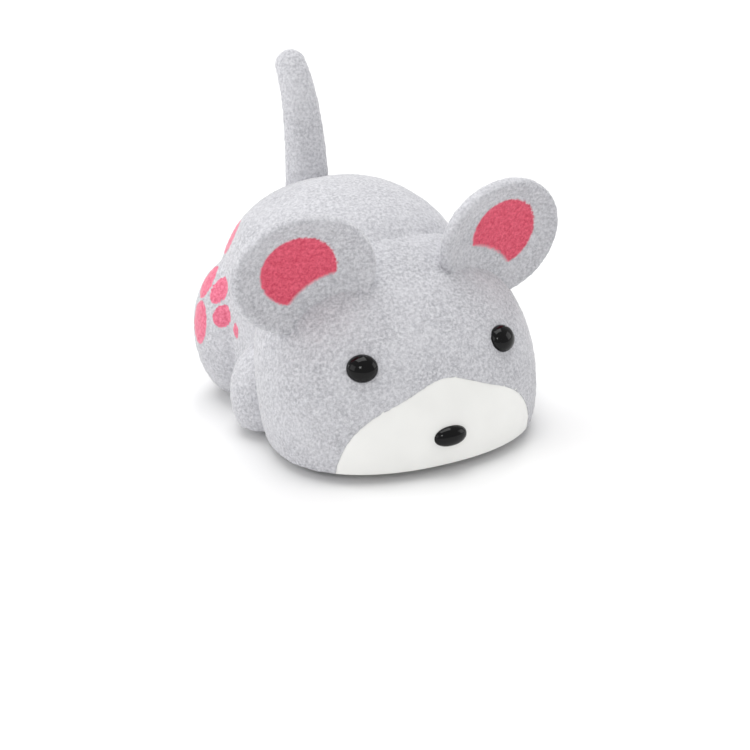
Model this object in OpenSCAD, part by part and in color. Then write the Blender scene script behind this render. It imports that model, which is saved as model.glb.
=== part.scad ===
// Pull-back clockwork mouse: flocked shells over a spring motor, on two axles.
// Millimetres. +Z is up, the mouse faces -Y, the wheels stand on z = 0.

/* [Head] */
// Half width of the head at the cheeks
head_rx = 20; // [19:0.5:21]
// Reach of the face in front of the head's centre
head_front = 14; // [13:0.5:15]
// Half height of the head above its widest level
head_rz = 19.6; // [18.5:0.1:20]
// Level at which the head is widest
head_z = 8.7; // [8:0.1:10]
// Eye distance from the middle plane
eye_x = 10.8; // [9.5:0.1:12]
// Eye height
eye_z = 15.9; // [14:0.1:18]
// Nose height
nose_z = 5.7; // [5:0.1:8]
// Half width of the white muzzle
muzzle_w = 15.2; // [13:0.1:16]

/* [Torso] */
// Half width of the torso
torso_rx = 17.7; // [17:0.1:18.5]
// Half length of the torso
torso_ry = 17.6; // [17:0.1:18.5]
// Half height of the torso
torso_rz = 18.7; // [18:0.1:19.5]
// Wall thickness of the moulded shells
wall = 1.6; // [1.4:0.1:1.8]
// Height of the skirt above the floor
skirt_z = 1.5; // [1.3:0.1:1.7]

/* [Ears and tail] */
// Half width of an ear
ear_rx = 10; // [9:0.1:11]
// Half height of an ear
ear_rz = 8.6; // [8:0.1:9.5]
// Half thickness of an ear
ear_ry = 2.3; // [2:0.1:2.6]
// Radius at the root of the tail
tail_root_r = 3.2; // [2.8:0.1:3.6]
// Radius at the tip of the tail
tail_tip_r = 2.25; // [1.8:0.05:2.6]

/* [Running gear] */
// Diameter of the rear wheels over their tyres
rear_wheel_d = 10; // [9.6:0.1:10.2]
// Diameter of the front wheels
front_wheel_d = 9; // [8.5:0.1:9.5]
// Distance from the middle plane to the inner face of a wheel
wheel_in = 8.6; // [8.5:0.1:9]
// Width of a wheel
wheel_w = 3; // [2.5:0.1:3.2]
// Diameter of the axles
axle_d = 2; // [1.8:0.1:2]
// Radial running clearance of shafts in their holes
run_gap = 0.05; // [0.03:0.01:0.08]

/* [Motor] */
// Tooth module of the gears
gear_m = 0.45; // [0.44:0.01:0.45]
// Teeth on each pinion
pinion_z = 10; // [10]
// Teeth on the drive idler's wheel
idler_z = 24; // [24]
// Teeth on the spring gear
spring_z = 26; // [26]
// Coils of the mainspring
spring_turns = 6; // [4:1:6]
// Thickness of the spring strip
spring_t = 0.25; // [0.2:0.05:0.3]

/* [Hidden] */

FLOCK = "#CFCFD4";
CREAM = "#F5F6F3";
BLACK = "#151515";
WHITE_PLASTIC = "#E9E9E4";
GREY_PLASTIC = "#8E9298";
ACETAL = "#F2EFE6";
STEEL = "#B9BCC0";
RUBBER = "#26272A";

eps = 0.01;

// Head: a superellipsoid that leans back as it rises
head_y0 = -8.8;
head_lean = 0.0115;
head_back = 17;
head_n = 2.2;
head_m = 2.3;
// Torso
torso_y = 8.6;
torso_z = 13.2;
torso_n = 2.35;

// Axles and gear centres, in the Y-Z plane
rear_axle_p = [11, rear_wheel_d / 2];
front_axle_p = [-11, front_wheel_d / 2];
train_tilt = 45;
d_idler = gear_m * (pinion_z + idler_z) / 2;
d_spring = gear_m * (pinion_z + spring_z) / 2;
d_axle_spring = 27.2 * gear_m;
u_dir = [-cos(train_tilt), sin(train_tilt)];
n_dir = [-sin(train_tilt), -cos(train_tilt)];
spring_p = rear_axle_p + d_axle_spring * u_dir;
idler_u = (d_idler * d_idler - d_spring * d_spring + d_axle_spring * d_axle_spring) / (2 * d_axle_spring);
idler_n = sqrt(d_idler * d_idler - idler_u * idler_u);
idler_p = rear_axle_p + idler_u * u_dir - idler_n * n_dir;
clutch_swing = 22;
clutch_p = spring_p - d_spring * cos(clutch_swing) * u_dir + d_spring * sin(clutch_swing) * n_dir;

// Plates, bosses and cases
plate_t = 1.0;
plate_top = skirt_z + plate_t;
plate_gap = 0.3;
case_x = 7.4;
case_wall = 0.8;
case_side = 0.8;
case_lo = [spring_p[0] - gear_m * (spring_z / 2 + 0.8) - 1.25, plate_top];
case_hi = [idler_p[0] + gear_m * (idler_z / 2 + 0.8) + 1.25,
           spring_p[1] + gear_m * (spring_z / 2 + 0.8) + 1.2];
case_r = 2;
pin_r = 0.75;
screw_r = 0.6;
screw_head_r = 1.1;
motor_screw_p = [[case_lo[0] + 1.5, case_lo[1] + 1.6], [case_hi[0] - 1.6, case_hi[1] - 1.6]];
gear_b = [-1.9, -0.1];
gear_a = [1.0, 2.4];
chassis_screw_y = [-16.5, 19.4];
chassis_screw_r = 0.8;
chassis_head_r = 1.6;
chassis_head_t = 0.6;
pad_t = 0.6;
boss_r = 1.8;

// ---------- helpers ----------

function signed_pow(v, e) = sign(v) * pow(abs(v), e);
function head_cy(z) = head_y0 + head_lean * z * z;
function head_w(z, d) = abs(z - head_z) / (head_rz - d);

// y of the face at a given x and height, d inside the outer surface
function face_y(x, z, d = 0) =
    head_cy(z) - (head_front - d) *
    pow(max(1e-6, 1 - pow(abs(x) / (head_rx - d), head_n) - pow(head_w(z, d), head_m)), 1 / head_n);

// outward direction of the face
function face_dir(x, z) =
    let (h = 0.02,
         fx = (face_y(x + h, z) - face_y(x - h, z)) / (2 * h),
         fz = (face_y(x, z + h) - face_y(x, z - h)) / (2 * h),
         v = [fx, -1, fz])
    v / norm(v);

// one level of a superellipsoid: plan radii rx, front and back, scaled by k, begun part of a step round
function level(rx, front, back, n, cy, z, k, count, start = 0) =
    [for (i = [0:count - 1])
        let (a = 360 * (i + start) / count)
        [rx * k * signed_pow(cos(a), 2 / n),
         cy + (sin(a) < 0 ? front : back) * k * signed_pow(sin(a), 2 / n),
         z]];

// closed skin over a stack of equal levels, lowest level first
module stack(levels) {
    rows = len(levels);
    count = len(levels[0]);
    points = [for (l = levels) each l];
    sides = [for (r = [0:rows - 2], i = [0:count - 1])
        let (j = (i + 1) % count, a = r * count, b = a + count)
        each [[a + i, b + i, b + j], [a + i, b + j, a + j]]];
    bottom = [for (i = [0:count - 1]) i];
    top = [for (i = [count - 1:-1:0]) (rows - 1) * count + i];
    polyhedron(points = points, faces = concat(sides, [bottom, top]), convexity = 6);
}

function head_level(z, d, count) =
    let (k = pow(max(1e-6, 1 - pow(head_w(z, d), head_m)), 1 / head_n))
    level(head_rx - d, head_front - d, head_back - d, head_n, head_cy(z), z, k, count);

function torso_level(z, d, count) =
    let (w = abs(z - torso_z) / (torso_rz - d),
         k = pow(max(1e-6, 1 - pow(w, torso_n)), 1 / torso_n))
    level(torso_rx - d, torso_ry - d, torso_ry - d, torso_n, torso_y, z, k, count, 0.5);

// heights from the skirt to the crown, closer together towards the crown
function heights(z0, cz, rz, m, rows) =
    let (start = -asin(pow((cz - z0) / rz, m / 2)))
    [for (i = [0:rows]) cz + rz * signed_pow(sin(start + (89.2 - start) * i / rows), 2 / m)];

module head_solid(d = 0, z0 = skirt_z, rows = 17, count = 52) {
    stack([for (z = heights(z0, head_z, head_rz - d, head_m, rows)) head_level(z, d, count)]);
}

module torso_only(d = 0, z0 = skirt_z, rows = 16, count = 48) {
    stack([for (z = heights(z0, torso_z, torso_rz - d, torso_n, rows)) torso_level(z, d, count)]);
}

module ellipsoid(c, r, fn = 32) {
    translate(c) scale(r) sphere(r = 1, $fn = fn);
}

// torso with its haunches and front legs, flat at the skirt
module torso_solid() {
    torso_only();
    difference() {
        union() {
            for (s = [-1, 1]) {
                ellipsoid([s * 13.8, 15, 10.4], [6.5, 7.5, 10.5]);
                ellipsoid([s * 16.4, 2, 5.8], [4.4, 4.9, 7.1]);
            }
        }
        translate([-30, -30, skirt_z - 20]) cube([60, 80, 20]);
    }
}

// turn a child drawn in X-Y so that it lies in Y-Z and is extruded along +X
module along_x() {
    rotate([90, 0, 90]) children();
}

module rod_x(p, x0, x1, r, fn = 48) {
    translate([x0, p[0], p[1]]) along_x() cylinder(r = r, h = x1 - x0, $fn = fn);
}

module box(lo, hi) {
    translate(lo) cube(hi - lo);
}

// moves the modelling datum to the middle of the toy's length
module shifted() {
    mid_y = (tail_p[3][0] + tail_tip_r + nose_y - nose_r) / 2;
    translate([0, -mid_y, 0]) children();
}

// point a child's +Z along v
module aim(v) {
    rotate([0, acos(v[2]), atan2(v[1], v[0])]) children();
}

// ---------- gears ----------

pressure = 25;
addendum = 0.8;
dedendum = 1.15;
backlash = 0.06;

function involute(rb, r) =
    let (t = sqrt(max(0, r * r / (rb * rb) - 1)))
    t * 180 / PI - atan(t);

// half angle of a tooth at radius r
function tooth_half(z, r) =
    let (rp = gear_m * z / 2,
         rb = rp * cos(pressure))
    90 / z - backlash * 90 / (PI * rp) + involute(rb, rp) - involute(rb, max(r, rb));

function gear_points(z) =
    let (rp = gear_m * z / 2,
         ra = rp + addendum * gear_m,
         rr = rp - dedendum * gear_m,
         rb = rp * cos(pressure),
         r0 = max(rr + 0.02, min(rb, ra)),
         steps = [rr, r0, (r0 + rp) / 2, rp, (rp + ra) / 2, ra])
    [for (k = [0:z - 1])
        let (c = 360 * k / z)
        each concat(
            [for (i = [0:5]) let (a = c - tooth_half(z, steps[i])) steps[i] * [cos(a), sin(a)]],
            [for (i = [5:-1:0]) let (a = c + tooth_half(z, steps[i])) steps[i] * [cos(a), sin(a)]])];

module gear(p, z, phase, x0, x1) {
    translate([x0, p[0], p[1]]) along_x()
        linear_extrude(x1 - x0) rotate(phase) polygon(gear_points(z));
}

function bearing(a, b) = atan2(b[1] - a[1], b[0] - a[0]);

// phase of a gear of zb teeth that meshes with one of za teeth at phase fa
function mesh_phase(d, fa, za, zb) = d + 180 - (fa - d) * za / zb + 180 / zb;

axle_phase = 0;
idler_phase = mesh_phase(bearing(rear_axle_p, idler_p), axle_phase, pinion_z, idler_z);
spring_phase = mesh_phase(bearing(idler_p, spring_p), idler_phase, pinion_z, spring_z);
clutch_phase = mesh_phase(bearing(spring_p, clutch_p), spring_phase, spring_z, pinion_z);

// ---------- flocked body ----------

// stiffening rib inside a shell's skirt, at plan angle a
module skirt_rib(levels_out, levels_in) {
    hull() {
        translate(levels_out) cube([0.9, 0.9, 3.6], center = true);
        translate(levels_in) cube([0.9, 0.9, 3.6], center = true);
    }
}

// a boss under the plate screw at y, webbed to the wall at y = to
module screw_boss(y, to) {
    translate([0, y, plate_top + pad_t]) cylinder(r = boss_r, h = 7, $fn = 32);
    box([-0.6, min(y, to), plate_top + pad_t], [0.6, max(y, to), plate_top + pad_t + 7]);
}

module screw_pilot(y) {
    translate([0, y, 0]) cylinder(r = chassis_screw_r + 0.02, h = 9, $fn = 32);
}

module body_shell() {
    rib_z = plate_top + 2.0;
    ribs = torso_level(rib_z, wall - 0.4, 48);
    ribs_in = torso_level(rib_z, wall + 0.9, 48);
    color(FLOCK) shifted() difference() {
        union() {
            difference() {
                torso_solid();
                torso_only(wall, skirt_z - 0.4);
            }
            for (i = [0, 3, 6, 9, 15, 18, 21, 24]) skirt_rib(ribs[i], ribs_in[i]);
            intersection() {
                screw_boss(chassis_screw_y[1], 26);
                torso_only(0.6);
            }
        }
        head_solid(wall, skirt_z - 0.4, 11, 28);
        screw_pilot(chassis_screw_y[1]);
        translate([0, tail_p[0][0], 20]) cylinder(r = peg_r + 0.05, h = 12, $fn = 32);
    }
}

module head_shell() {
    rib_z = plate_top + 2.0;
    ribs = head_level(rib_z, wall - 0.4, 48);
    ribs_in = head_level(rib_z, wall + 0.9, 48);
    color(FLOCK) shifted() difference() {
        union() {
            difference() {
                head_solid();
                head_solid(wall, skirt_z - 0.4);
            }
            for (i = [25, 28, 31, 34, 38, 41, 44, 47]) skirt_rib(ribs[i], ribs_in[i]);
            intersection() {
                screw_boss(chassis_screw_y[0], -24);
                head_solid(0.6);
            }
        }
        torso_solid();
        muzzle_patch(-2, muzzle_in);
        muzzle_lugs();
        screw_pilot(chassis_screw_y[0]);
        nose_peg(0.05);
        for (s = [-1, 1]) {
            eye_place(s) {
                translate([0, 0, -eye_sink]) cylinder(r = eye_r + 0.05, h = 4, $fn = 40);
                translate([0, 0, -5]) cylinder(r = eye_peg_r + 0.05, h = 6, $fn = 24);
            }
            ear_place(s) ear_tab(0.05);
        }
    }
}

// ---------- muzzle, nose, eyes ----------

muzzle_out = 0.15;
muzzle_in = 0.9;
muzzle_rise = 10.4;
muzzle_bump = 1.6;
muzzle_bump_w = 5.5;

function muzzle_top(x) =
    skirt_z + muzzle_rise * sqrt(max(0, 1 - pow(abs(x) / muzzle_w, 2.5)))
    + muzzle_bump * exp(-pow(x / muzzle_bump_w, 2));

muzzle_edge = concat(
    [for (i = [0:32]) let (x = -(muzzle_w - 0.1) * cos(180 * i / 32)) [x, muzzle_top(x)]],
    [for (i = [1:15]) [(muzzle_w - 0.1) * (1 - 2 * i / 16), skirt_z]]);

// slab between two depths below the face, bounded by the muzzle's outline
module muzzle_patch(d0, d1) {
    rows = 7;
    count = len(muzzle_edge);
    hub = [0, 5.5];
    function at(i, j, d) =
        let (q = hub + (muzzle_edge[j] - hub) * i / rows) [q[0], face_y(q[0], q[1], d), q[1]];
    half = 1 + rows * count;
    points = concat(
        [at(0, 0, d0)], [for (i = [1:rows], j = [0:count - 1]) at(i, j, d0)],
        [at(0, 0, d1)], [for (i = [1:rows], j = [0:count - 1]) at(i, j, d1)]);
    function id(s, i, j) = s * half + (i == 0 ? 0 : 1 + (i - 1) * count + j % count);
    front = [for (j = [0:count - 1]) each concat([[id(0, 0, 0), id(0, 1, j), id(0, 1, j + 1)]],
        [for (i = [1:rows - 1]) each [[id(0, i, j), id(0, i + 1, j), id(0, i + 1, j + 1)],
                                      [id(0, i, j), id(0, i + 1, j + 1), id(0, i, j + 1)]]])];
    back = [for (f = front) [f[0] + half, f[2] + half, f[1] + half]];
    rim = [for (j = [0:count - 1]) each [[id(0, rows, j), id(1, rows, j), id(1, rows, j + 1)],
                                         [id(0, rows, j), id(1, rows, j + 1), id(0, rows, j + 1)]]];
    polyhedron(points = points, faces = concat(front, back, rim), convexity = 4);
}

// eight glue lugs on the muzzle's back, which seat in the head shell
module muzzle_lugs() {
    for (s = [-1, 1], q = [[3.5, 9.5], [3.5, 3.8], [8.5, 7.6], [8.5, 3.4]]) {
        y = face_y(s * q[0], q[1], muzzle_in);
        hull() {
            translate([s * q[0], y - 0.1, q[1]]) cube([1.2, 0.5, 1.2], center = true);
            translate([s * q[0], y + 0.35, q[1]]) cube([0.8, 0.3, 0.8], center = true);
        }
    }
}

module muzzle() {
    color(CREAM) shifted() difference() {
        union() {
            muzzle_patch(muzzle_out, muzzle_in);
            intersection() {
                muzzle_lugs();
                head_solid(muzzle_out + 0.3);
            }
        }
        nose_form();
        nose_peg(0.02);
    }
}

nose_half = 0.95;
nose_r = 1.25;
nose_y = face_y(0, nose_z, muzzle_out);

// oval bead, wider than high
module nose_form() {
    translate([0, nose_y, nose_z]) hull()
        for (s = [-1, 1]) translate([s * nose_half, 0, 0]) sphere(r = nose_r, $fn = 24);
}

module nose_peg(gap) {
    translate([0, nose_y, nose_z]) rotate([-90, 0, 0]) cylinder(r = 0.7 + gap, h = 3.2, $fn = 24);
}

// the bead's back is flat, and stops short of the head shell
module nose() {
    flat_y = nose_y + 0.65;
    color(BLACK) shifted() {
        difference() {
            nose_form();
            box([-4, flat_y, nose_z - 4], [4, flat_y + 4, nose_z + 4]);
        }
        nose_peg(0);
    }
}

eye_r = 2.1;
eye_h = 1.5;
eye_sink = 0.45;
eye_peg_r = 0.7;

module eye_place(s) {
    translate([s * eye_x, face_y(eye_x, eye_z), eye_z]) aim(face_dir(s * eye_x, eye_z)) children();
}

// domed bead on a peg
module eye_bead() {
    ball = (eye_r * eye_r + eye_h * eye_h) / (2 * eye_h);
    difference() {
        translate([0, 0, eye_h - ball]) sphere(r = ball, $fn = 48);
        translate([-4, -4, -8]) cube([8, 8, 8]);
    }
    translate([0, 0, -eye_sink]) cylinder(r = eye_r, h = eye_sink, $fn = 48);
    translate([0, 0, -2.9]) cylinder(r = eye_peg_r, h = 2.9, $fn = 24);
}

module eye_right() {
    color(BLACK) shifted() eye_place(-1) eye_bead();
}

module eye_left() {
    color(BLACK) shifted() eye_place(1) eye_bead();
}

// ---------- ears and tail ----------

ear_p = [15.2, -8.8, 27.2];
ear_turn = 8;
ear_nod = 6;
ear_tab_len = 8.5;
ear_tab_w = 5;
ear_tab_t = 1.3;

module ear_place(s) {
    mirror([s < 0 ? 1 : 0, 0, 0])
        translate(ear_p) rotate([0, 0, ear_turn]) rotate([ear_nod, 0, 0]) children();
}

// tongue that reaches through the head shell
module ear_tab(gap) {
    start = 3.8;
    rotate([0, 218.5, 0])
        translate([-ear_tab_w / 2 - gap, 0.45 - gap, start])
            cube([ear_tab_w + 2 * gap, ear_tab_t + 2 * gap, ear_tab_len - start + gap]);
}

// dished disc with a soft rolled rim
module ear_cup() {
    beads = 24;
    rim_k = 0.80;
    bead_r = 1.1;
    difference() {
        ellipsoid([0, 0, 0], [ear_rx, ear_ry, ear_rz], 40);
        ellipsoid([0, -2.9, 0], [ear_rx * 0.84, 3.2, ear_rz * 0.82], 40);
    }
    for (i = [0:beads - 1]) hull() for (a = [i, i + 1] * 360 / beads)
        translate([ear_rx * rim_k * cos(a), -0.55, ear_rz * (rim_k - 0.02) * sin(a)])
            sphere(r = bead_r, $fn = 12);
}

module ear(s) {
    color(FLOCK) shifted() {
        difference() {
            ear_place(s) ear_cup();
            head_solid();
            torso_solid();
        }
        ear_place(s) ear_tab(0);
    }
}

module ear_right() {
    ear(-1);
}

module ear_left() {
    ear(1);
}

// tail centreline in Y-Z: four guide points of a curve
tail_p = [[20.4, 26], [20.7, 36], [22.3, 41.6], [25.5, 45.4]];
peg_r = 1.5;

function curve(p, t) =
    let (s = 1 - t)
    s * s * s * p[0] + 3 * s * s * t * p[1] + 3 * s * t * t * p[2] + t * t * t * p[3];

module tail() {
    joints = 14;
    color(FLOCK) shifted() {
        difference() {
            for (i = [0:joints - 1]) hull() for (t = [i, i + 1] / joints) {
                p = curve(tail_p, t);
                translate([0, p[0], p[1]])
                    sphere(r = tail_root_r + (tail_tip_r - tail_root_r) * t, $fn = 24);
            }
            torso_solid();
        }
        translate([0, tail_p[0][0], 23.2]) cylinder(r = peg_r, h = 6.5, $fn = 32);
        translate([0, tail_p[0][0], 22.6]) cylinder(r1 = 1.5, r2 = 1.9, h = 0.7, $fn = 32);
    }
}

// ---------- chassis ----------

module plate_outline() {
    polygon([for (p = head_level(skirt_z, wall + plate_gap, 60)) [p[0], p[1]]]);
    polygon([for (p = torso_level(skirt_z, wall + plate_gap, 60)) [p[0], p[1]]]);
}

module wheel_notch(p, r) {
    for (s = [-1, 1])
        translate([s * (wheel_in + 5), p[0], 0]) cube([10.8, 2 * r + 1.2, 9], center = true);
}

module chassis() {
    post_w = 1.6;
    color(WHITE_PLASTIC) shifted() difference() {
        union() {
            translate([0, 0, skirt_z]) linear_extrude(plate_t) plate_outline();
            for (y = chassis_screw_y)
                translate([0, y, plate_top]) cylinder(r = 2.4, h = pad_t, $fn = 48);
            for (s = [-1, 1])
                box([s * 6.5 - post_w / 2, front_axle_p[0] - 2, plate_top],
                    [s * 6.5 + post_w / 2, front_axle_p[0] + 2, front_axle_p[1] + 2]);
            motor_clips();
        }
        wheel_notch(rear_axle_p, rear_wheel_d / 2);
        wheel_notch(front_axle_p, front_wheel_d / 2);
        rod_x(front_axle_p, -10, 10, axle_d / 2 + run_gap);
        pinion_room();
        for (y = chassis_screw_y) {
            translate([0, y, 0]) cylinder(r = chassis_screw_r + 0.1, h = 9, $fn = 32);
            translate([0, y, 0]) cylinder(r = chassis_head_r + 0.1, h = skirt_z + chassis_head_t, $fn = 32);
        }
    }
}

clip_z = 6;
clip_gap = 0.05;
ledge = 0.6;

// upright hooks that hold the motor by the ledges on its case
module motor_clips() {
    front = case_lo[0] - ledge - clip_gap;
    back = case_hi[0] + ledge + clip_gap;
    box([-2.5, front - 1.1, plate_top], [2.5, front, clip_z + 2]);
    box([-2.5, front - eps, clip_z + 1 + clip_gap], [2.5, front + 0.5, clip_z + 2]);
    for (s = [-1, 1]) {
        box([s * 4.8 - 1.2, back, plate_top], [s * 4.8 + 1.2, back + 1.1, clip_z + 2]);
        box([s * 4.8 - 1.2, back - 0.5, clip_z + 1 + clip_gap], [s * 4.8 + 1.2, back + eps, clip_z + 2]);
    }
}

module chassis_screws() {
    color(STEEL) shifted() for (y = chassis_screw_y) translate([0, y, 0]) difference() {
        union() {
            translate([0, 0, skirt_z]) cylinder(r = chassis_head_r, h = chassis_head_t, $fn = 40);
            translate([0, 0, skirt_z]) cylinder(r = chassis_screw_r, h = 6.8, $fn = 32);
        }
        for (a = [0, 90]) rotate([0, 0, a])
            translate([-1, -0.2, skirt_z - 1]) cube([2, 0.4, 1.35]);
    }
}

// ---------- motor ----------

module case_outline(d) {
    w = case_hi - case_lo;
    r = case_r - d;
    translate(case_lo + [d, d]) {
        translate([r, 0]) square([w[0] - 2 * d - 2 * r, w[1] - 2 * d]);
        translate([0, r]) square([w[0] - 2 * d, w[1] - 2 * d - 2 * r]);
        for (x = [r, w[0] - 2 * d - r], y = [r, w[1] - 2 * d - r])
            translate([x, y]) circle(r = r, $fn = 32);
    }
}

// half of the case between x0 and x1, open at x = 0
module case_half(s) {
    lo = s < 0 ? -case_x : 0;
    inner = s < 0 ? -case_x + case_side : -eps;
    difference() {
        union() {
            difference() {
                translate([lo, 0, 0]) along_x() linear_extrude(case_x) case_outline(0);
                translate([inner, 0, 0]) along_x()
                    linear_extrude(case_x - case_side + eps) case_outline(case_wall);
                pinion_room();
            }
            for (p = motor_screw_p) rod_x(p, s < 0 ? lo : 0, s < 0 ? 0 : case_x, 1.4);
            case_ledge(s, 0, case_lo[0] - ledge, case_lo[0] + 0.4);
            case_ledge(s, 3, case_hi[0] - 0.4, case_hi[0] + ledge);
            case_bosses(s);
        }
        rod_x(rear_axle_p, -9, 9, axle_d / 2 + run_gap);
        rod_x(spring_p, -9, 9, pin_r);
        rod_x(idler_p, -9, 9, pin_r);
        clutch_slot();
    }
}

// space that the axle's pinion turns in, which opens the floor of the case
module pinion_room() {
    rod_x(rear_axle_p, -2.6, 3.4, gear_m * (pinion_z / 2 + addendum) + 0.25);
}

// ledge under which a chassis hook snaps, from x_in outwards
module case_ledge(s, x_in, y0, y1) {
    box([s < 0 ? -6.2 : x_in, y0, clip_z], [s < 0 ? -x_in : 6.2, y1, clip_z + 1]);
}

// spacers that keep the gears in their planes
module case_bosses(s) {
    if (s < 0) {
        rod_x(idler_p, -case_x + 0.2, -2.5, 1.4);
        rod_x(rear_axle_p, -case_x + 0.2, -2.6, 1.9);
    } else {
        rod_x(spring_p, 0.3, case_x - 0.2, 1.5);
        rod_x(idler_p, 2.7, case_x - 0.2, 1.4);
        rod_x(rear_axle_p, 3.4, case_x - 0.2, 1.9);
    }
}

// curved slot in which the clutch pin floats, centred on the spring gear
module clutch_slot() {
    r = pin_r + run_gap;
    for (step = [0:4]) {
        a = bearing(spring_p, clutch_p) + step * 2.6;
        rod_x(spring_p + d_spring * [cos(a), sin(a)], -9, 9, r, 32);
    }
}

module motor_case_right() {
    color(GREY_PLASTIC) shifted() difference() {
        case_half(-1);
        for (p = motor_screw_p) rod_x(p, -9, 9, screw_r + 0.1);
    }
}

module motor_case_left() {
    color(GREY_PLASTIC) shifted() difference() {
        case_half(1);
        for (p = motor_screw_p) rod_x(p, -1, 4.2, screw_r);
    }
}

module motor_screws() {
    color(STEEL) shifted() for (p = motor_screw_p) difference() {
        union() {
            rod_x(p, -case_x - 0.6, -case_x, screw_head_r);
            rod_x(p, -case_x - 0.6, 4, screw_r);
        }
        box([-case_x - 1, p[0] - 0.15, p[1] - 0.8], [-case_x - 0.3, p[0] + 0.15, p[1] + 0.8]);
    }
}

spring_x = [-6.2, -2.4];
hub_r = 1.6;
spring_out = 5.6;

function spiral(r, a) = spring_p + r * [cos(a), sin(a)];

// flat strip wound from the spring gear's hub out to the case
module mainspring() {
    steps = spring_turns * 24;
    pitch = (spring_out - hub_r - spring_t) / spring_turns;
    radii = [for (i = [0:steps]) hub_r + 0.02 + pitch * i / 24];
    points = concat(
        [for (i = [0:steps]) spiral(radii[i], i * 15)],
        [for (i = [steps:-1:0]) spiral(radii[i] + spring_t, i * 15)]);
    color(STEEL) shifted()
        translate([spring_x[0], 0, 0]) along_x() linear_extrude(spring_x[1] - spring_x[0]) polygon(points);
}

module spring_gear() {
    color(ACETAL) shifted() difference() {
        union() {
            gear(spring_p, spring_z, spring_phase, gear_b[0], gear_b[1]);
            rod_x(spring_p, -case_x + case_side + 0.2, gear_b[0], hub_r);
        }
        rod_x(spring_p, -9, 9, pin_r + run_gap);
    }
}

module drive_idler() {
    color(ACETAL) shifted() difference() {
        union() {
            gear(idler_p, idler_z, idler_phase, gear_a[0], gear_a[1]);
            gear(idler_p, pinion_z, idler_phase, -2.3, gear_a[0]);
        }
        rod_x(idler_p, -9, 9, pin_r + run_gap);
    }
}

module clutch_gear() {
    color(ACETAL) shifted() difference() {
        union() {
            gear(clutch_p, pinion_z, clutch_phase, gear_b[0], gear_b[1]);
            rod_x(clutch_p, -case_x + case_side + 0.2, case_x - case_side - 0.2, 1.3);
        }
        rod_x(clutch_p, -9, 9, pin_r + run_gap);
    }
}

module steel_pin(p) {
    color(STEEL) shifted() rod_x(p, -case_x, case_x, pin_r);
}

module spring_pin() {
    steel_pin(spring_p);
}

module idler_pin() {
    steel_pin(idler_p);
}

module clutch_pin() {
    steel_pin(clutch_p);
}

module axle_pinion() {
    color(ACETAL) shifted() difference() {
        gear(rear_axle_p, pinion_z, axle_phase, -2.4, 3.2);
        rod_x(rear_axle_p, -9, 9, axle_d / 2);
    }
}

// ---------- axles and wheels ----------

module rear_axle() {
    color(STEEL) shifted() rod_x(rear_axle_p, -wheel_in - wheel_w, wheel_in + wheel_w, axle_d / 2);
}

module front_axle() {
    color(STEEL) shifted() rod_x(front_axle_p, -wheel_in - wheel_w, wheel_in + wheel_w, axle_d / 2);
}

tyre_t = 1.1;
groove = 0.3;

// wheel turned about X: spoked face outwards, hub inwards
module wheel(p, r, s, grooved) {
    x0 = s > 0 ? wheel_in : -wheel_in - wheel_w;
    face = s > 0 ? x0 + wheel_w : x0;
    difference() {
        union() {
            rod_x(p, x0, x0 + wheel_w, r);
            if (grooved) {
                rod_x(p, x0, x0 + 0.35, r + groove);
                rod_x(p, x0 + wheel_w - 0.35, x0 + wheel_w, r + groove);
            }
        }
        rod_x(p, -20, 20, axle_d / 2);
        difference() {
            rod_x(p, face - 0.7, face + 0.7, r - 0.7);
            rod_x(p, face - 1, face + 1, 1.7);
        }
        for (a = [0:60:300]) {
            q = p + (r + 1) / 2 * [cos(a), sin(a)];
            rod_x(q, x0 - 1, x0 + wheel_w + 1, 0.45, 24);
        }
    }
}

module tyre(p, r, s) {
    x0 = s > 0 ? wheel_in : -wheel_in - wheel_w;
    translate([x0, p[0], p[1]]) along_x() rotate_extrude($fn = 64) difference() {
        union() {
            translate([r - tyre_t, 0.35]) square([groove, wheel_w - 0.7]);
            translate([r - tyre_t + groove, 0]) square([tyre_t - groove, wheel_w]);
        }
        for (y = [0, wheel_w]) translate([r, y]) rotate(45) square(0.6, center = true);
    }
}

rear_hub_r = rear_wheel_d / 2 - tyre_t;

module rear_wheel_right() {
    color(CREAM) shifted() wheel(rear_axle_p, rear_hub_r, -1, true);
}

module rear_wheel_left() {
    color(CREAM) shifted() wheel(rear_axle_p, rear_hub_r, 1, true);
}

module rear_tyre_right() {
    color(RUBBER) shifted() tyre(rear_axle_p, rear_wheel_d / 2, -1);
}

module rear_tyre_left() {
    color(RUBBER) shifted() tyre(rear_axle_p, rear_wheel_d / 2, 1);
}

module front_wheel_right() {
    color(CREAM) shifted() wheel(front_axle_p, front_wheel_d / 2, -1, false);
}

module front_wheel_left() {
    color(CREAM) shifted() wheel(front_axle_p, front_wheel_d / 2, 1, false);
}

body_shell();
head_shell();
muzzle();
nose();
eye_right();
eye_left();
ear_right();
ear_left();
tail();
chassis();
chassis_screws();
motor_case_right();
motor_case_left();
motor_screws();
mainspring();
spring_gear();
spring_pin();
drive_idler();
idler_pin();
clutch_gear();
clutch_pin();
rear_axle();
axle_pinion();
rear_wheel_right();
rear_wheel_left();
rear_tyre_right();
rear_tyre_left();
front_axle();
front_wheel_right();
front_wheel_left();
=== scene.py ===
# %% [markdown]
# A pull-back clockwork mouse, about 5 cm long. Two moulded shells, body and head, wear a coat of grey flock,
# a muzzle of bare glossy plastic is let into the face, and the beads of the eyes and nose are black. The
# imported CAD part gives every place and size. Here each visible skin is made again, finely enough to look
# real.

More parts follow.
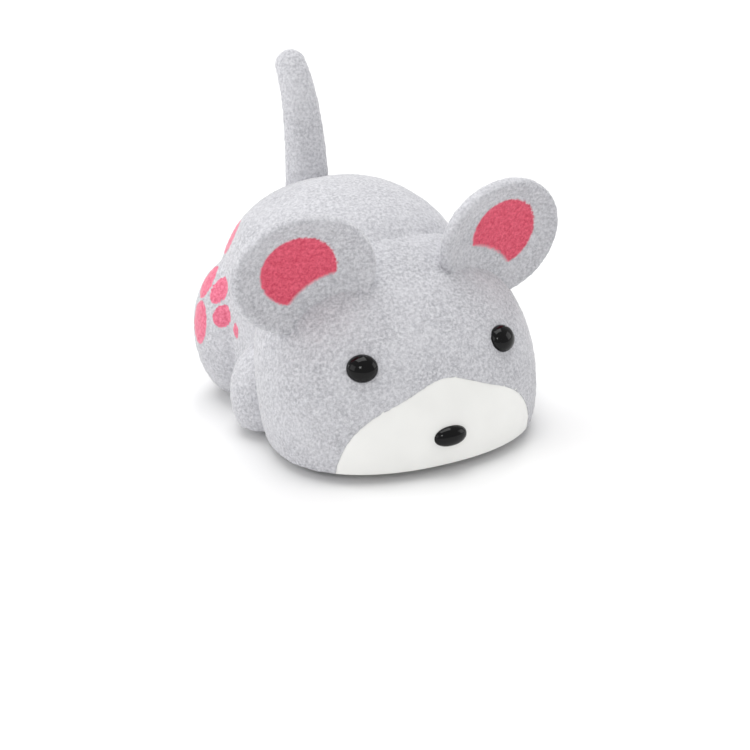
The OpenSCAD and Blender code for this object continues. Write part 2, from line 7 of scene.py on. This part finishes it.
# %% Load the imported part
import math
import bpy
from mathutils import Euler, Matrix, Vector


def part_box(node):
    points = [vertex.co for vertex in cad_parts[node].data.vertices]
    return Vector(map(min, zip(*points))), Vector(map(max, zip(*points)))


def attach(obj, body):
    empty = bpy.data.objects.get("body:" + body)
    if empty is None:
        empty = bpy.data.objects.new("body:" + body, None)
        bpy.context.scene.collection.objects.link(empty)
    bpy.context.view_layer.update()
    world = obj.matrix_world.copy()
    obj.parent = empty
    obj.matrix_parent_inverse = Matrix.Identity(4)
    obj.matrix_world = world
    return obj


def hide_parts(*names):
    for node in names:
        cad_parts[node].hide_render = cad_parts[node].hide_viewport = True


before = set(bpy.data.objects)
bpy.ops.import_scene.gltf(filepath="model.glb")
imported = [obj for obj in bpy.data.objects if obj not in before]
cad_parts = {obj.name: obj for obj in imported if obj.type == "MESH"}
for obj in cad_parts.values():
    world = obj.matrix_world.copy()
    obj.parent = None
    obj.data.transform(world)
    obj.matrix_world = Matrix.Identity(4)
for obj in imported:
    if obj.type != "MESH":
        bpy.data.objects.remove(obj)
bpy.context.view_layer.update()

# %% [markdown]
# Shapes are easiest to think about in millimetres, measured from the CAD's own zero, while Blender works in
# metres. The CAD was shifted along Y to put the middle of the toy at zero. The rear axle tells by how much.

# %% Millimetres to scene metres
MM = 0.001
AXLE_Y = 11
axle_low, axle_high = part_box("rear_axle")
SHIFT = (axle_low[1] + axle_high[1]) / 2 - AXLE_Y * MM


def place(x, y, z):
    """A point of the CAD's own drawing, in millimetres, as a place in the scene."""
    return Vector((x * MM, y * MM + SHIFT, z * MM))


print("the drawing is shifted along Y by", round(SHIFT / MM, 3), "mm")

# %% [markdown]
# The camera looks from the front and a little above, over the mouse's right shoulder, with a long lens held
# back, so that near and far parts keep nearly the same scale. The small shift leaves room for the tail above.

# %% Camera
DISTANCE = 0.3
turn, rise = math.radians(-28), math.radians(21.8)
back = Vector((math.sin(turn) * math.cos(rise), -math.cos(turn) * math.cos(rise), math.sin(rise)))
target = place(0, 0, 20)
lens = bpy.data.cameras.new("catalogue_camera")
lens.lens, lens.sensor_width = 102.2, 36
lens.shift_x, lens.shift_y = 0.0032, -0.1227
lens.clip_start = 0.01
camera = bpy.data.objects.new("catalogue_camera", lens)
bpy.context.collection.objects.link(camera)
camera.location = target + DISTANCE * back
camera.rotation_euler = back.to_track_quat("Z", "Y").to_euler()
bpy.context.scene.camera = camera
print("camera", [round(v, 4) for v in camera.location])

# %% [markdown]
# Three small helpers serve every piece. Operators act on all that is selected, so a piece is picked alone
# before it is worked on. Modifiers are added and applied at once, which leaves plain meshes to export.

# %% Picking and modifying


def pick(piece):
    bpy.ops.object.select_all(action="DESELECT")
    piece.select_set(True)
    bpy.context.view_layer.objects.active = piece


def modify(piece, kind, **settings):
    """Adds a modifier with its settings and applies it."""
    pick(piece)
    modifier = piece.modifiers.new(kind.lower(), kind)
    for name, value in settings.items():
        setattr(modifier, name, value)
    bpy.ops.object.modifier_apply(modifier=modifier.name)


def edit(piece, chosen=lambda p: True):
    """Opens a piece in edit mode with only the faces chosen by their centre selected."""
    pick(piece)
    bpy.ops.object.mode_set(mode="EDIT")
    bpy.ops.mesh.select_mode(type="FACE")
    bpy.ops.mesh.select_all(action="DESELECT")
    bpy.ops.object.mode_set(mode="OBJECT")
    for face in piece.data.polygons:
        face.select = chosen(face.center)
    bpy.ops.object.mode_set(mode="EDIT")


def done(piece):
    """Leaves edit mode and says how big the mesh is."""
    bpy.ops.object.mode_set(mode="OBJECT")
    print(piece.name, len(piece.data.polygons), "faces")


# %% [markdown]
# Head, torso and haunches are swollen ellipsoids, a little squarer than a ball. Each starts as a cube that is
# subdivided and rounded, which spreads its quads evenly. Every corner is then moved out along its own
# direction, by the same powers and radii as the CAD. A sculpted ball would do too, but it wouldn't fit the
# CAD so closely.

# %% Round forms from a cube


def power(value, exponent):
    """A power that keeps the sign, so that it serves both sides of the middle."""
    return math.copysign(abs(value) ** exponent, value)


def ball(name, cuts, form):
    """A cube made round, whose corners go where form(direction) says."""
    bpy.ops.object.select_all(action="DESELECT")
    bpy.ops.mesh.primitive_cube_add(size=0.02)
    piece = bpy.context.object
    piece.name = piece.data.name = name
    bpy.ops.object.mode_set(mode="EDIT")
    bpy.ops.mesh.subdivide(number_cuts=cuts)
    bpy.ops.transform.tosphere(value=1)
    bpy.ops.object.mode_set(mode="OBJECT")
    for corner in piece.data.vertices:
        corner.co = form(corner.co.normalized())
    return piece


def joined(name, pieces):
    """Makes one mesh object of several."""
    pick(pieces[0])
    for piece in pieces[1:]:
        piece.select_set(True)
    bpy.ops.object.join()
    pieces[0].name = pieces[0].data.name = name
    return pieces[0]


# %% The forms of the head and the torso
HEAD_X, HEAD_FRONT, HEAD_BACK, HEAD_RISE, HEAD_Z = 20, 14, 17, 19.6, 8.7
HEAD_PLAN, HEAD_PROFILE, TORSO_POWER = 2.2, 2.3, 2.35
HEAD_Y, HEAD_LEAN = -8.8, 0.0115
TORSO = ((0, 8.6, 13.2), (17.7, 17.6, 18.7))
HAUNCH = ((13.8, 15, 10.4), (6.5, 7.5, 10.5))
LEG = ((16.4, 2, 5.8), (4.4, 4.9, 7.1))
SKIRT = 1.5
PILE = 0.12


def head_middle(z):
    """How far along Y the head's widest place is at a height z. It leans back towards the top."""
    return HEAD_Y + HEAD_LEAN * z * z


def head_form(d):
    z = HEAD_Z + (HEAD_RISE + PILE) * power(d.z, 2 / HEAD_PROFILE)
    reach = (HEAD_FRONT if d.y < 0 else HEAD_BACK) + PILE
    x, y = (HEAD_X + PILE) * power(d.x, 2 / HEAD_PLAN), reach * power(d.y, 2 / HEAD_PLAN)
    return place(x, head_middle(z) + y, z)


def face_y(x, z, depth=0.0):
    """Where the face is, in drawing millimetres, at a distance x from the middle and a height z."""
    across = (abs(x) / (HEAD_X - depth)) ** HEAD_PLAN
    up = (abs(z - HEAD_Z) / (HEAD_RISE - depth)) ** HEAD_PROFILE
    return head_middle(z) - (HEAD_FRONT - depth) * max(1e-6, 1 - across - up) ** (1 / HEAD_PLAN)


def round_form(centre, radii, side=1, exponent=2.0):
    """The form of an ellipsoid with its pile, on either side of the middle."""
    def form(d):
        p = [c + (r + PILE) * power(v, 2 / exponent) for c, r, v in zip(centre, radii, d)]
        return place(side * p[0], p[1], p[2])
    return form


def inside_head(p, by):
    """Whether a point of the scene is deeper in the head than a given number of millimetres."""
    x, y, z = p.x / MM, (p.y - SHIFT) / MM, p.z / MM
    reach = (HEAD_FRONT if y < head_middle(z) else HEAD_BACK) - by
    plan = (abs(x) / (HEAD_X - by)) ** HEAD_PLAN + (abs(y - head_middle(z)) / reach) ** HEAD_PLAN
    return plan + (abs(z - HEAD_Z) / (HEAD_RISE - by)) ** HEAD_PROFILE < 1


def inside_round(p, centre, radii, by, exponent=2.0):
    """The same for an ellipsoid, or for its mirror image on the other side."""
    q = (abs(p.x) / MM, (p.y - SHIFT) / MM, p.z / MM)
    return sum((abs(v - c) / (r - by)) ** exponent for v, c, r in zip(q, centre, radii)) < 1


def inside_body(p, by):
    return (inside_round(p, *TORSO, by, TORSO_POWER) or inside_round(p, *HAUNCH, by)
            or inside_round(p, *LEG, by))


print("face at the skirt", round(face_y(0, SKIRT), 2), "mm")

# %% [markdown]
# Flock is a coat of short cut fibres, shot upright into wet glue by a static charge. It is about half a
# millimetre deep, softens every crease and stands up in fine grains, as felt does. The coat could be a hair
# system, which doesn't export, or only a bump, which leaves hard outlines. Here it is a real skin: the joined
# forms are remeshed to small even quads, smoothed so that the creases close, opened where the shell is open,
# given their thickness inwards and then roughened by a fine cloud pattern.

# %% A coat of flock
GRAIN, FINE_GRAIN = 0.34 * MM, 0.28 * MM
COAT, NAP = 0.45 * MM, 0.24 * MM
SHELL_OVERLAP, ROOT_OVERLAP = 1.0, 1.2
nap = bpy.data.textures.new("flock_nap", "CLOUDS")
nap.noise_scale, nap.noise_depth = 0.42 * MM, 1


def flocked(piece, opened, smooth=8, grain=GRAIN):
    """Turns a closed form into a coat, without its part below the skirt and the faces that opened() picks."""
    modify(piece, "REMESH", mode="VOXEL", voxel_size=grain)
    modify(piece, "SMOOTH", factor=0.5, iterations=smooth)
    edit(piece)
    bpy.ops.mesh.bisect(plane_co=(0, 0, (SKIRT + 0.05) * MM), plane_no=(0, 0, 1), clear_inner=True)
    done(piece)
    edit(piece, opened)
    bpy.ops.mesh.delete(type="FACE")
    done(piece)
    modify(piece, "SOLIDIFY", thickness=COAT, offset=-1, use_even_offset=False)
    modify(piece, "DISPLACE", texture=nap, texture_coords="LOCAL", strength=NAP, mid_level=0.5)
    pick(piece)
    bpy.ops.object.shade_smooth()
    return piece


# %% Body coat
parts = [ball("body_flock", 40, round_form(*TORSO, exponent=TORSO_POWER))]
for side in (-1, 1):
    parts.append(ball("haunch", 24, round_form(*HAUNCH, side)))
    parts.append(ball("leg", 24, round_form(*LEG, side)))
body_flock = flocked(joined("body_flock", parts), lambda p: inside_head(p, SHELL_OVERLAP))

# %% Head coat
head_flock = flocked(ball("head_flock", 44, head_form), lambda p: inside_body(p, SHELL_OVERLAP), 3)

# %% [markdown]
# The muzzle's window in the head coat has a crisp outline: a wide arch with a low bump in the middle, down to
# the skirt. A disc is shaped to that outline, drawn out into a block and cut from the coat with a boolean.

# %% The muzzle's outline, and its window in the coat
MUZZLE_W, MUZZLE_RISE, MUZZLE_POWER = 15.1, 9.7, 3.3
BUMP_RISE, BUMP_W = 2.3, 5.4
BLOCK_FROM, BLOCK_LONG, BLOCK_BELOW = -40, 28, 3


def muzzle_top(x, grow=0.0):
    """The height of the outline at a distance x from the middle, grown outwards on all sides if asked."""
    arch = max(0.0, 1 - (abs(x) / (MUZZLE_W + grow)) ** MUZZLE_POWER) ** 0.5
    return SKIRT + (MUZZLE_RISE + grow) * arch + BUMP_RISE * math.exp(-(x / BUMP_W) ** 2)


bpy.ops.object.select_all(action="DESELECT")
bpy.ops.mesh.primitive_circle_add(vertices=160, fill_type="NGON", radius=0.01)
window = bpy.context.object
for corner in window.data.vertices:
    a = math.atan2(corner.co.y, corner.co.x)
    x = MUZZLE_W * math.cos(a)
    z = muzzle_top(x) if a > 0 else SKIRT + BLOCK_BELOW * math.sin(a)
    corner.co = place(x, BLOCK_FROM, z)
edit(window)
bpy.ops.mesh.extrude_region_move(TRANSFORM_OT_translate={"value": (0, BLOCK_LONG * MM, 0)})
bpy.ops.mesh.select_all(action="SELECT")
bpy.ops.mesh.normals_make_consistent(inside=False)
done(window)
modify(head_flock, "BOOLEAN", operation="DIFFERENCE", object=window, solver="EXACT")
bpy.data.objects.remove(window)
print(head_flock.name, len(head_flock.data.polygons), "faces with its window")

# %% [markdown]
# The muzzle itself is a thin moulded cap of glossy white plastic. A flat grid is laid onto the face, a hair
# proud of the shell. Its rows are bent to the outline and tucked half a millimetre under the coat, then
# thickened inwards.

# %% Muzzle
TUCK, PROUD, CAP = 0.5, 0.06, 0.7
bpy.ops.object.select_all(action="DESELECT")
bpy.ops.mesh.primitive_grid_add(x_subdivisions=120, y_subdivisions=36, size=2)
muzzle = bpy.context.object
muzzle.name = muzzle.data.name = "muzzle_cap"
for corner in muzzle.data.vertices:
    x = (MUZZLE_W + TUCK) * math.sin(corner.co.x * math.pi / 2)
    z = SKIRT + (muzzle_top(x, TUCK) - SKIRT) * (corner.co.y + 1) / 2
    corner.co = place(x, face_y(x, z, -PROUD), z)
edit(muzzle)
bpy.ops.mesh.remove_doubles(threshold=0.004 * MM)
bpy.ops.mesh.normals_make_consistent(inside=False)
done(muzzle)
if sum(f.normal.y for f in muzzle.data.polygons) > 0:
    muzzle.data.flip_normals()
modify(muzzle, "SOLIDIFY", thickness=CAP * MM, offset=-1)
pick(muzzle)
bpy.ops.object.shade_smooth_by_angle(angle=math.radians(40))

# %% [markdown]
# Eyes and nose are turned and polished black beads. An eye is a low dome that looks along the face's own
# direction. The nose is an oval bead lying across the muzzle.

# %% Eyes and nose
EYE = (10.8, 15.9)
EYE_RADII = (2.15, 1.92, 1.55)
NOSE_Z, NOSE_SUNK, NOSE_RADII = 5.7, 0.15, (2.5, 1.35, 1.45)


def face_direction(x, z):
    """The way the face looks at a place, from its slopes there."""
    step = 0.02
    across = (face_y(x + step, z) - face_y(x - step, z)) / (2 * step)
    up = (face_y(x, z + step) - face_y(x, z - step)) / (2 * step)
    return Vector((across, -1, up)).normalized()


eyes = []
for side, name in ((-1, "eye_bead_right"), (1, "eye_bead_left")):
    look = face_direction(side * EYE[0], EYE[1]).to_track_quat("Z", "Y").to_matrix()
    root = place(side * EYE[0], face_y(*EYE), EYE[1])
    eyes.append(ball(name, 16, lambda d: root + look @ Vector([r * v for r, v in zip(EYE_RADII, d)]) * MM))

wide, deep, tall = NOSE_RADII
nose = ball("nose_bead", 16, lambda d: place(
    wide * power(d.x, 0.94), face_y(0, NOSE_Z, NOSE_SUNK) + deep * d.y, NOSE_Z + tall * power(d.z, 0.97)))
for bead in (*eyes, nose):
    pick(bead)
    bpy.ops.object.shade_smooth()
    print(bead.name, len(bead.data.polygons), "faces")

# %% [markdown]
# An ear is a dished disc with a thin rim, flocked like the head. It starts as a ball pressed flat. Its front
# is pressed in over the middle, which leaves the rim standing. The finer grain keeps that rim crisp.

# %% Ears
EAR = (15.2, -8.8, 27.2)
EAR_TURN, EAR_NOD = 8, 6
EAR_W, EAR_H, EAR_BACK, EAR_FRONT, DISH = 10.2, 8.8, 2.4, 1.5, 1.4


def ear_form(side):
    """The form of one ear, turned outwards and nodded back about its middle."""
    tilt = Euler((math.radians(EAR_NOD), 0, math.radians(side * EAR_TURN))).to_matrix()
    centre = place(side * EAR[0], EAR[1], EAR[2])

    def form(d):
        q = math.hypot(d.x, d.z)
        if d.y > 0:
            y = EAR_BACK * d.y
        else:
            y = -EAR_FRONT * max(0.0, 1 - q ** 24) ** 0.5 + DISH * max(0.0, 1 - (q / 0.95) ** 4)
        return centre + tilt @ Vector((EAR_W * d.x, y, EAR_H * d.z)) * MM
    return form


ears = []
for side, name in ((-1, "ear_flock_right"), (1, "ear_flock_left")):
    ears.append(flocked(
        ball(name, 36, ear_form(side)),
        lambda p: inside_head(p, ROOT_OVERLAP) or inside_body(p, ROOT_OVERLAP), 1, FINE_GRAIN))

# %% [markdown]
# The tail stands up behind and bends back at its end. It is a curve with a round section that tapers, closed
# by a ball at the tip, and flocked with the rest.

# %% Tail
ROOT, TIP = (20.4, 26, 3.3), (25.5, 45.4, 2.3)
bpy.ops.object.select_all(action="DESELECT")
bpy.ops.curve.primitive_bezier_curve_add()
tail = bpy.context.object
start, end = tail.data.splines[0].bezier_points
for point, before, middle, after in (
        (start, (20.4, 22), ROOT[:2], (20.7, 36)), (end, (22.3, 41.6), TIP[:2], (27, 47))):
    point.handle_left_type = point.handle_right_type = "FREE"
    point.handle_left, point.co, point.handle_right = (place(0, *p) for p in (before, middle, after))
start.radius, end.radius = ROOT[2], TIP[2]
tail.data.bevel_depth, tail.data.bevel_resolution = MM, 10
tail.data.resolution_u, tail.data.use_fill_caps = 40, True
bpy.ops.object.convert(target="MESH")
tail = bpy.context.object
ends = [ball(name, 12, lambda d: place(r * d.x, y + r * d.y, z + r * d.z))
        for name, (y, z, r) in (("tip", TIP), ("root", ROOT))]
tail = flocked(joined("tail_flock", [tail, *ends]), lambda p: inside_body(p, ROOT_OVERLAP), 5)

# %% [markdown]
# One function adds a shader node with its settings and its links. Colours are written as on a screen, in hex,
# and one more function turns them to the linear values that shaders use.

# %% Shader helpers


def linear(code):
    """A hex colour as red, green, blue and alpha for a shader."""
    values = [int(code[i:i + 2], 16) / 255 for i in (1, 3, 5)]
    return [v / 12.92 if v <= 0.04045 else ((v + 0.055) / 1.055) ** 2.4 for v in values] + [1.0]


def add(tree, kind, settings=(), **inputs):
    """Adds a node; settings are its own properties, inputs are socket values or sockets to link from."""
    made = tree.nodes.new("ShaderNode" + kind)
    for name, value in dict(settings).items():
        setattr(made, name, value)
    for name, value in inputs.items():
        socket = made.inputs[int(name[1:])] if name[1:].isdigit() else made.inputs[name.replace("_", " ")]
        if isinstance(value, bpy.types.NodeSocket):
            tree.links.new(value, socket)
        else:
            socket.default_value = value
    return made


def material(name, **base):
    """A new material and its tree, with the constants of its shader set on their own sockets."""
    made = bpy.data.materials.new(name)
    made.use_nodes = True
    shader = made.node_tree.nodes["Principled BSDF"]
    for socket, value in base.items():
        shader.inputs[socket.replace("_", " ")].default_value = value
    print("material", name)
    return made, made.node_tree, shader


def wear(piece, finish):
    """Gives a piece one finish all over."""
    piece.data.materials.clear()
    piece.data.materials.append(finish)
    for face in piece.data.polygons:
        face.material_index = 0


# %% [markdown]
# Flock is nylon, cut to half a millimetre. Its fibres stand on end, so it is dull in front and glows along
# its edges, which is the shader's sheen. Grains of lighter and darker fibre are about 0.3 mm across, drawn a
# little coarser than the real 0.1 mm so that they show, and the nap leans one way here and another there.

# %% Flock


def flock(name, light, dark, ground=None):
    """A flock material. A ground function, if given, prints on its colour."""
    made, tree, shader = material(name, Roughness=0.95, Sheen_Weight=0.6, Sheen_Roughness=0.3, IOR=1.53,
                                  Sheen_Tint=linear("#FFFFFF"))
    where = add(tree, "TexCoord").outputs["Object"]
    fibre = add(tree, "TexNoise", Vector=where, Scale=1 / (0.42 * MM), Detail=4.0, Roughness=0.75)
    lean = add(tree, "TexNoise", Vector=where, Scale=1 / (5.0 * MM), Detail=3.0, Roughness=0.6)
    spread = add(tree, "MapRange", Value=fibre.outputs["Fac"], From_Min=0.36, From_Max=0.64)
    grey = add(tree, "Mix", {"data_type": "RGBA"}, i0=spread.outputs[0], i6=linear(dark), i7=linear(light))
    drift = add(tree, "MapRange", Value=lean.outputs["Fac"], From_Min=0.3, From_Max=0.7, To_Max=0.35)
    leaned = add(tree, "Mix", {"data_type": "RGBA"}, i0=drift.outputs[0], i6=grey.outputs[2], i7=linear(light))
    colour = leaned.outputs[2]
    if ground:
        colour = ground(tree, where, colour, fibre.outputs["Fac"])
    tree.links.new(colour, shader.inputs["Base Color"])
    bump = add(tree, "Bump", Height=fibre.outputs["Fac"], Strength=0.8, Distance=0.15 * MM)
    tree.links.new(bump.outputs[0], shader.inputs["Normal"])
    return made


LIGHT, DARK = "#DCDCE0", "#A3A3A9"

# %% [markdown]
# Pink paw marks are printed on the flock: a pad and its toes on each haunch, and one more mark higher up. The
# sides mirror each other, so the pattern uses the distance from the middle. Fibres blur every edge a little.
# Each oval is given by its middle and its radii along Y and Z, in drawing millimetres.

# %% Prints on the flock
FRAY, PRINT_FROM = 0.5 * MM, 9 * MM
PAW = [((15.2, 12.3), (2.2, 3.2)), ((16.2, 17.8), (1.7, 2.1)), ((12.6, 17.8), (1.5, 1.8)),
       ((10.7, 14.6), (1.4, 1.6)), ((7.7, 13.3), (0.8, 1.1)), ((17.5, 23.6), (2.6, 2.2))]


def blur(tree, where, fibre, size):
    """The pattern's coordinates, pushed about by the fibres."""
    push = add(tree, "MapRange", Value=fibre, To_Min=-size, To_Max=size)
    shifted = add(tree, "VectorMath", {"operation": "ADD"}, i0=where, i1=push.outputs[0])
    return shifted.outputs[0]


def spots(tree, where, centres):
    """How much of a point is inside any of the ovals, from 0 to 1."""
    total = None
    for centre, radii in centres:
        gap = add(tree, "VectorMath", {"operation": "SUBTRACT"}, i0=where, i1=centre)
        ratio = add(tree, "VectorMath", {"operation": "DIVIDE"}, i0=gap.outputs[0], i1=radii)
        reach = add(tree, "VectorMath", {"operation": "LENGTH"}, i0=ratio.outputs[0])
        spot = add(tree, "MapRange", Value=reach.outputs["Value"], From_Min=1.03, From_Max=0.97).outputs[0]
        if total is not None:
            spot = add(tree, "Math", {"operation": "MAXIMUM"}, i0=total, i1=spot).outputs[0]
        total = spot
    return total


def printed(tree, mask, colour, fibre, ink, deep):
    """Ink over the ground colour where the mask is 1, lighter and darker from fibre to fibre."""
    spread = add(tree, "MapRange", Value=fibre, From_Min=0.36, From_Max=0.64)
    tone = add(tree, "Mix", {"data_type": "RGBA"}, i0=spread.outputs[0], i6=linear(deep), i7=linear(ink))
    return add(tree, "Mix", {"data_type": "RGBA"}, i0=mask, i6=colour, i7=tone.outputs[2]).outputs[2]


def paw_ground(tree, where, colour, fibre):
    """The paw prints, only on the outer sides."""
    soft = blur(tree, where, fibre, FRAY)
    ovals = [(place(0, *c), (1e3, r[0] * MM, r[1] * MM)) for c, r in PAW]
    mask = spots(tree, soft, ovals)
    apart = add(tree, "SeparateXYZ", Vector=where)
    side = add(tree, "Math", {"operation": "ABSOLUTE"}, i0=apart.outputs[0])
    outer = add(tree, "Math", {"operation": "GREATER_THAN"}, i0=side.outputs[0], i1=PRINT_FROM)
    both = add(tree, "Math", {"operation": "MULTIPLY"}, i0=mask, i1=outer.outputs[0])
    return printed(tree, both.outputs[0], colour, fibre, "#F48AA3", "#D65C78")


wear(body_flock, flock("nylon_flock_printed", LIGHT, DARK, paw_ground))
plain_flock = flock("nylon_flock", LIGHT, DARK)
for piece in (head_flock, tail):
    wear(piece, plain_flock)

# %% [markdown]
# Each ear carries a rose-pink disc inside its dish, with a bite out of it on the side of the head. The disc
# lies in the ear's own plane, so a Mapping node first turns the coordinates into that plane. The back stays
# grey.

# %% Prints in the ears
DISC_X, DISC_Z, DISC_W, DISC_H = 0.65 * MM, 0.6 * MM, 5.4 * MM, 5.05 * MM
BITE_X, BITE_Z, BITE = 5.9 * MM, 9.8 * MM, 9.6 * MM
for piece, side in zip(ears, (-1, 1)):
    def ear_ground(tree, where, colour, fibre, side=side):
        soft = blur(tree, where, fibre, FRAY)
        plane = add(tree, "Mapping", {"vector_type": "TEXTURE"}, Vector=soft,
                    Location=place(side * EAR[0], EAR[1], EAR[2]),
                    Rotation=(math.radians(EAR_NOD), 0, math.radians(side * EAR_TURN)))
        disc = spots(tree, plane.outputs[0], [((side * DISC_X, 0, DISC_Z), (DISC_W, 1e3, DISC_H))])
        bite = spots(tree, plane.outputs[0], [((-side * BITE_X, 0, -BITE_Z), (BITE, 1e3, BITE))])
        left = add(tree, "Math", {"operation": "SUBTRACT", "use_clamp": True}, i0=disc, i1=bite)
        apart = add(tree, "SeparateXYZ", Vector=plane.outputs[0])
        front = add(tree, "Math", {"operation": "LESS_THAN"}, i0=apart.outputs[1], i1=1 * MM)
        shown = add(tree, "Math", {"operation": "MULTIPLY"}, i0=left.outputs[0], i1=front.outputs[0])
        return printed(tree, shown.outputs[0], colour, fibre, "#F06A82", "#CC3F58")
    wear(piece, flock("nylon_flock_" + piece.name, LIGHT, DARK, ear_ground))

# %% [markdown]
# The muzzle is white ABS, moulded and polished: glossy, with a trace of ripple where the plastic shrank. The
# beads are black acrylic, hard and polished, so their highlights are small and sharp.

# %% Muzzle and bead plastics


def moulded(name, colour, rough, ripple_mm, height_mm, **more):
    """A moulded plastic with a slight change of tone, and a ripple of a real size."""
    made, tree, shader = material(name, Roughness=rough, **more)
    where = add(tree, "TexCoord").outputs["Object"]
    ripple = add(tree, "TexNoise", Vector=where, Scale=1 / (ripple_mm * MM), Detail=2.0)
    tint = linear(colour)
    shade = [v * 0.9 for v in tint[:3]] + [1.0]
    tone = add(tree, "Mix", {"data_type": "RGBA"}, i0=ripple.outputs["Fac"], i6=shade, i7=tint)
    tree.links.new(tone.outputs[2], shader.inputs["Base Color"])
    bump = add(tree, "Bump", Height=ripple.outputs["Fac"], Strength=0.5, Distance=height_mm * MM)
    tree.links.new(bump.outputs[0], shader.inputs["Normal"])
    return made


white_abs = moulded("abs_white_polished", "#F8F8F5", 0.22, 6.0, 0.05, IOR=1.53, Coat_Weight=0.3,
                    Coat_Roughness=0.08)
black_bead = moulded("acrylic_black_polished", "#060607", 0.08, 1.2, 0.03, IOR=1.49,
                     Specular_IOR_Level=0.25)
wear(muzzle, white_abs)
for bead in (*eyes, nose):
    wear(bead, black_bead)
print("plastics:", white_abs.name, black_bead.name)

# %% [markdown]
# Underneath, the CAD's own pieces stay, each with the finish of what it is: a white moulded chassis, grey
# motor case, acetal gears, plated steel axles and screws, cream wheels and black rubber tyres.

# %% Finishes of the running gear
FINISH = {
    "flocked_shell": moulded("abs_grey_moulded", "#C9C9CE", 0.6, 1.2, 0.02, IOR=1.53),
    "chassis": moulded("abs_white_moulded", "#E9E9E4", 0.42, 1.0, 0.02, IOR=1.53),
    "case": moulded("abs_mid_grey_moulded", "#8E9298", 0.45, 1.0, 0.02, IOR=1.53),
    "acetal": moulded("acetal_moulded", "#F2EFE6", 0.3, 0.8, 0.01, IOR=1.48, Subsurface_Weight=0.1,
                      Subsurface_Radius=(0.001, 0.001, 0.001)),
    "wheel": moulded("abs_cream_moulded", "#F1F0EA", 0.35, 1.0, 0.01, IOR=1.53),
    "rubber": moulded("rubber_black_moulded", "#232427", 0.8, 0.5, 0.03, IOR=1.52),
    "steel": moulded("steel_nickel_plated", "#C9CBCE", 0.25, 0.6, 0.01, Metallic=1.0),
    "spring": moulded("steel_blued_rolled", "#7F8790", 0.35, 0.4, 0.01, Metallic=1.0),
}
WORN = {
    "flocked_shell": ("body_shell", "head_shell"),
    "chassis": ("chassis",),
    "case": ("motor_case_right", "motor_case_left"),
    "acetal": ("spring_gear", "drive_idler", "clutch_gear", "axle_pinion"),
    "wheel": ("rear_wheel_right", "rear_wheel_left", "front_wheel_right", "front_wheel_left"),
    "rubber": ("rear_tyre_right", "rear_tyre_left"),
    "steel": ("chassis_screws", "motor_screws", "spring_pin", "idler_pin", "clutch_pin", "rear_axle",
              "front_axle"),
    "spring": ("mainspring",),
}
for finish, nodes in WORN.items():
    for name in nodes:
        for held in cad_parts[name].material_slots:
            held.material = FINISH[finish]
        print(name, "wears", FINISH[finish].name)

# %% [markdown]
# Every new piece belongs to the mouse's main body and takes the place of the CAD's plain solid. The two
# moulded shells stay inside their coats.

# %% Ride and replace
for piece, node, slot in (
        (muzzle, "muzzle", "white_muzzle"), (eyes[0], "eye_right", "black_bead"),
        (eyes[1], "eye_left", "black_bead"), (nose, "nose", "black_bead"),
        (ears[0], "ear_right", "grey_flock_soft"), (ears[1], "ear_left", "grey_flock_soft"),
        (tail, "tail", "grey_flock_soft")):
    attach(piece, "mouse")
    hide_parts(node)
for piece in (body_flock, head_flock):
    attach(piece, "mouse")
print("new pieces ride on the mouse's main body")

# %% [markdown]
# A plain pale floor and soft studio lamps: a broad one overhead, a small key from the front left that makes
# the beads sparkle, a soft wall of light on the left, a fill on the right, and two strips behind for the
# edges.

# %% Floor and lights
bpy.ops.object.select_all(action="DESELECT")
bpy.ops.mesh.primitive_plane_add(size=4, location=(0, 0, 0))
floor = bpy.context.object
floor.name = "studio_floor"
made, tree, shader = material("paper_backdrop_matt", Roughness=0.9, Base_Color=linear("#F4F4F4"))
wear(floor, made)


def lamp(name, where, size, power_w, aim=(0, 0, 0.02)):
    """A rectangular lamp that looks at the toy."""
    light = bpy.data.lights.new(name, "AREA")
    light.shape, light.size, light.size_y, light.energy = "RECTANGLE", size[0], size[1], power_w
    held = bpy.data.objects.new(name, light)
    bpy.context.collection.objects.link(held)
    held.location = where
    held.rotation_euler = (Vector(where) - Vector(aim)).to_track_quat("Z", "Y").to_euler()
    print(name, power_w, "W")


lamp("overhead", (0.0, 0.12, 0.6), (0.5, 0.5), 2.25)
lamp("key", (-0.3, -0.45, 0.4), (0.12, 0.12), 0.42)
lamp("left_wall", (-0.5, -0.02, 0.22), (0.4, 0.3), 0.48)
lamp("fill", (0.5, -0.2, 0.2), (0.3, 0.3), 0.4)
lamp("rim_left", (-0.35, 0.35, 0.2), (0.1, 0.4), 0.45)
lamp("rim_right", (0.35, 0.35, 0.2), (0.1, 0.4), 0.45)
world = bpy.data.worlds.new("studio")
world.use_nodes = True
world.node_tree.nodes["Background"].inputs[0].default_value = (1, 1, 1, 1)
world.node_tree.nodes["Background"].inputs[1].default_value = 0.55
bpy.context.scene.world = world
bpy.context.scene.view_settings.view_transform = "Standard"
